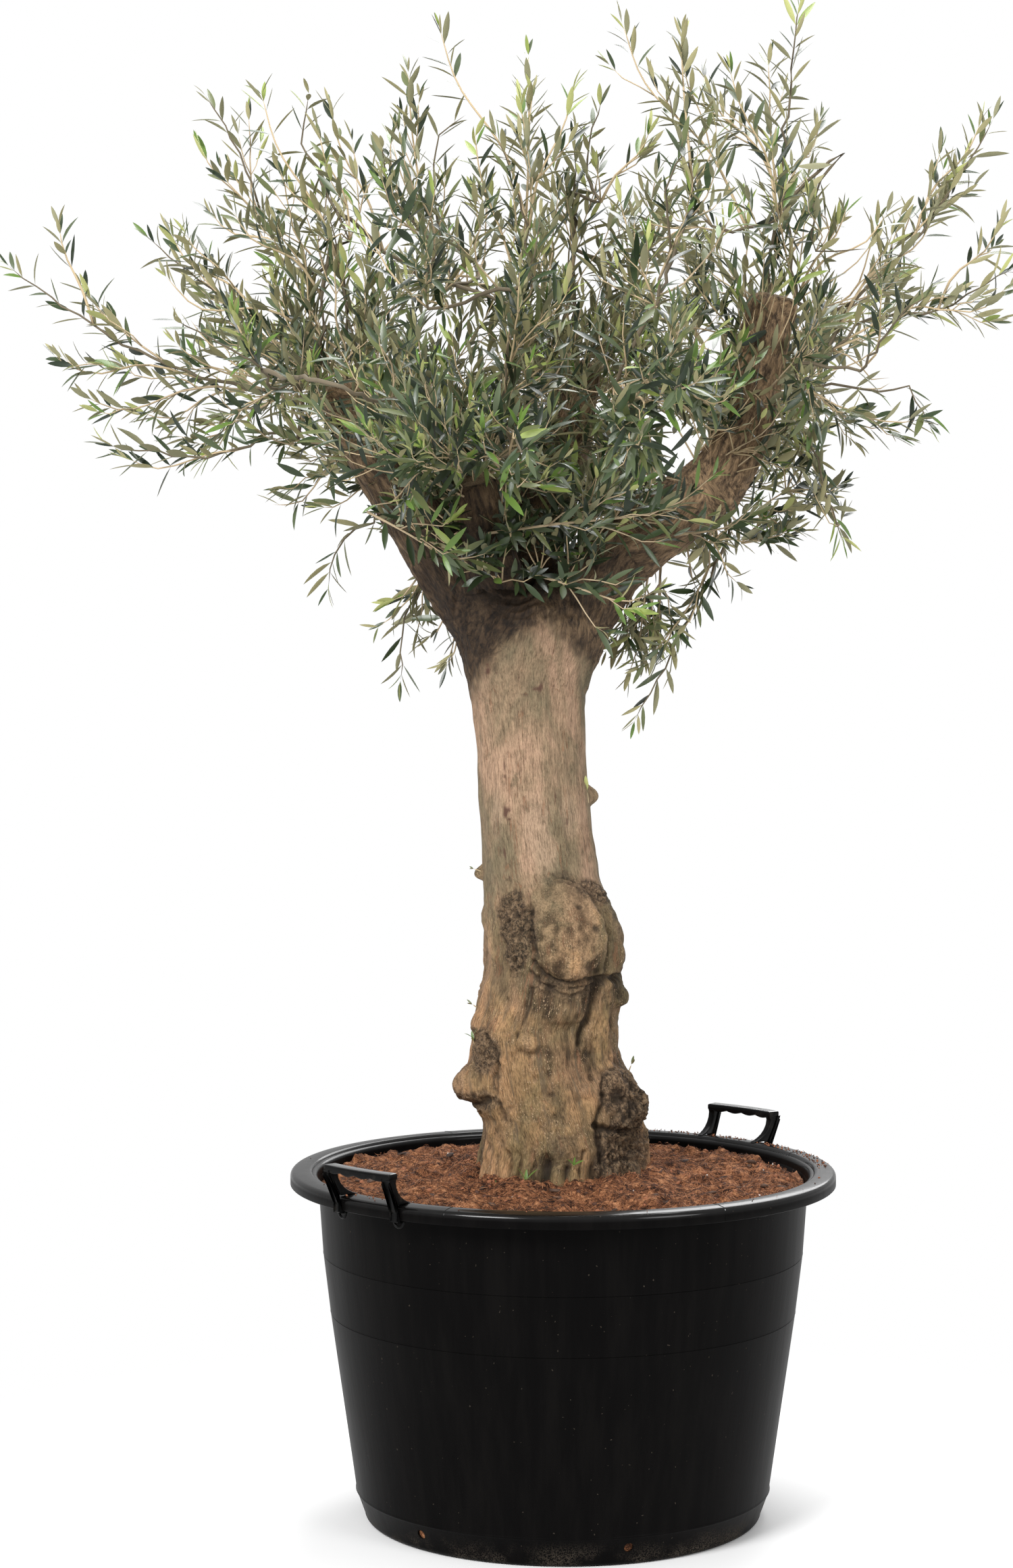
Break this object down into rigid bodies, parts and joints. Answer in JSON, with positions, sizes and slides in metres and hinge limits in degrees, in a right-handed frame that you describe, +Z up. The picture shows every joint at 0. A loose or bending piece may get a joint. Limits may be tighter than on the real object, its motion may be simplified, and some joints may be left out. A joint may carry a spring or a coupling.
{
  "type": "potted olive tree",
  "caption": "Old olive tree with a thick burled trunk, cut-back boughs and an open crown of small grey-green leaves, in a round black nursery tub with lifting handles.",
  "frame": {"origin": "centre of the tub's flat underside, where the part stands", "axes": "+Z up along the tub's axis; -Y is the front of the tree; +X is to the right as seen from the front"},
  "size_m": [1.791, 1.5, 2.776],
  "materials": {
    "tub_plastic": "satin",
    "handle_plastic": "satin",
    "potting_soil": "matte",
    "olive_bark": "matte",
    "olive_leaves": "satin"
  },
  "bodies": {
    "root": {"back_far_left": "olive_leaves", "back_far_right": "olive_leaves", "back_left": "olive_leaves", "back_low": "olive_leaves", "back_middle": "olive_leaves", "back_right": "olive_leaves", "back_upper_left": "olive_leaves", "back_upper_right": "olive_leaves", "bough_front_knob": "olive_bark", "bough_left": "olive_bark", "bough_rear": "olive_bark", "bough_rear_left": "olive_bark", "bough_right_lower": "olive_bark", "bough_right_upper": "olive_bark", "core_front": "olive_leaves", "core_left": "olive_leaves", "core_rear": "olive_leaves", "core_right": "olive_leaves", "front_far_left": "olive_leaves", "front_far_right": "olive_leaves", "front_left": "olive_leaves", "front_low": "olive_leaves", "front_right": "olive_leaves", "front_upper_left": "olive_leaves", "front_upper_right": "olive_leaves", "handle_back": "handle_plastic", "handle_front": "handle_plastic", "left_far_spray": "olive_leaves", "left_hanging": "olive_leaves", "left_hanging_outer": "olive_leaves", "left_low": "olive_leaves", "left_middle": "olive_leaves", "left_upper": "olive_leaves", "left_upper_inner": "olive_leaves", "right_far_spray_high": "olive_leaves", "right_far_spray_low": "olive_leaves", "right_hanging": "olive_leaves", "right_low": "olive_leaves", "right_middle": "olive_leaves", "right_upper": "olive_leaves", "soil": "potting_soil", "top_left": "olive_leaves", "top_middle": "olive_leaves", "top_rear": "olive_leaves", "top_right": "olive_leaves", "top_right_inner": "olive_leaves", "trunk": "olive_bark", "tub": "tub_plastic"}
  },
  "joints": []
}
